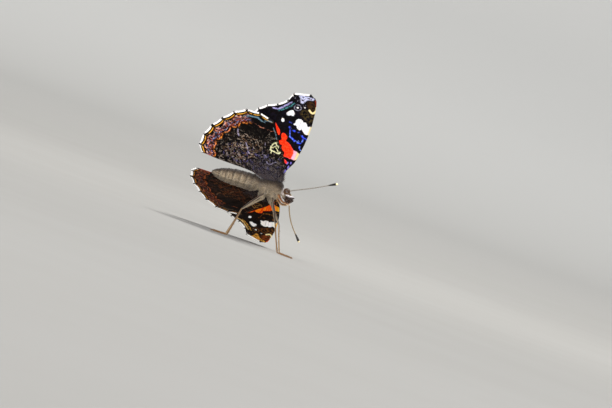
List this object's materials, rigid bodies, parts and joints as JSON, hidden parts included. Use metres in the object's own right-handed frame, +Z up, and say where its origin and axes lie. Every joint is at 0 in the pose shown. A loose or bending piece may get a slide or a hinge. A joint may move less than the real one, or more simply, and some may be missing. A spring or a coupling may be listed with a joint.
{
  "type": "red admiral butterfly",
  "caption": "Still life-size model of a red admiral butterfly standing on its legs with wings spread, leaning to its left.",
  "frame": {"origin": "on the floor, under the middle of the whole insect's box", "axes": "+X is forward, towards the head, +Y is to the insect's left, +Z is up from the floor"},
  "size_m": [0.0394, 0.0492, 0.0435],
  "materials": {
    "coat": "soft scales and short hair, dark brown with a grey-buff underside",
    "abdomen": "soft scales, dark brown above and grey-buff below",
    "eye": "glossy, finely faceted, dark brown",
    "palp": "stiff scales, whitish with a dark edge",
    "proboscis": "smooth dark brown horn",
    "antenna": "fine black and white rings, black club with a cream tip",
    "forewing": "scaled membrane, black with a red band, white spots and blue lines",
    "hindwing": "scaled membrane, mottled black-brown below, black with a red margin above",
    "leg": "scaled, brown above and pale buff below"
  },
  "bodies": {
    "root": {"head": "coat", "thorax": "coat", "abdomen": "abdomen", "eye_l": "eye", "eye_r": "eye", "palp_l": "palp", "palp_r": "palp", "proboscis": "proboscis", "antenna_l": "antenna", "antenna_r": "antenna", "forewing_l": "forewing", "forewing_r": "forewing", "hindwing_l": "hindwing", "hindwing_r": "hindwing", "foreleg_l": "leg", "foreleg_r": "leg", "midleg_l_femur": "leg", "midleg_l_tibia": "leg", "midleg_l_tarsus": "leg", "midleg_r_femur": "leg", "midleg_r_tibia": "leg", "midleg_r_tarsus": "leg", "hindleg_l_femur": "leg", "hindleg_l_tibia": "leg", "hindleg_l_tarsus": "leg", "hindleg_r_femur": "leg", "hindleg_r_tibia": "leg", "hindleg_r_tarsus": "leg"}
  },
  "joints": []
}
